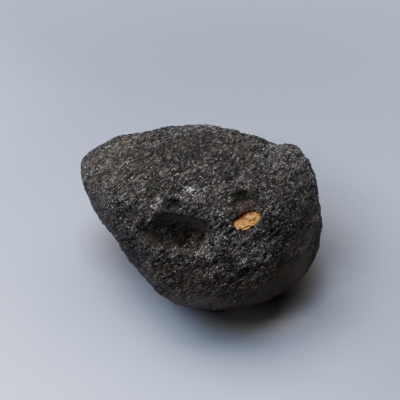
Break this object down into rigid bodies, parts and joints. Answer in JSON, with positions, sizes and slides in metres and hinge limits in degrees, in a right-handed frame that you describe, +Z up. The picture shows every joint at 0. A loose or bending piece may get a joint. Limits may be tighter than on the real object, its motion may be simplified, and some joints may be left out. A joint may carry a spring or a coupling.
{
  "type": "tektite",
  "caption": "Lumpy black natural-glass stone with a big hollow, small bubble pits, flow ridges and a plug of orange clay in one pit.",
  "frame": {"origin": "on the ground under the middle of the stone, at the height of its foot", "axes": "+X along the stone's length, from the blunt narrow tip to the broad end; -Y is the side that the big hollow faces; +Z up"},
  "size_m": [0.0441, 0.0388, 0.0271],
  "materials": {
    "tektite": "weathered natural black glass, fine-grained satin with tiny glints",
    "pit_clay": "matt orange laterite clay, crumbly"
  },
  "bodies": {
    "root": {"tektite": "tektite", "pit_clay": "pit_clay"}
  },
  "joints": []
}
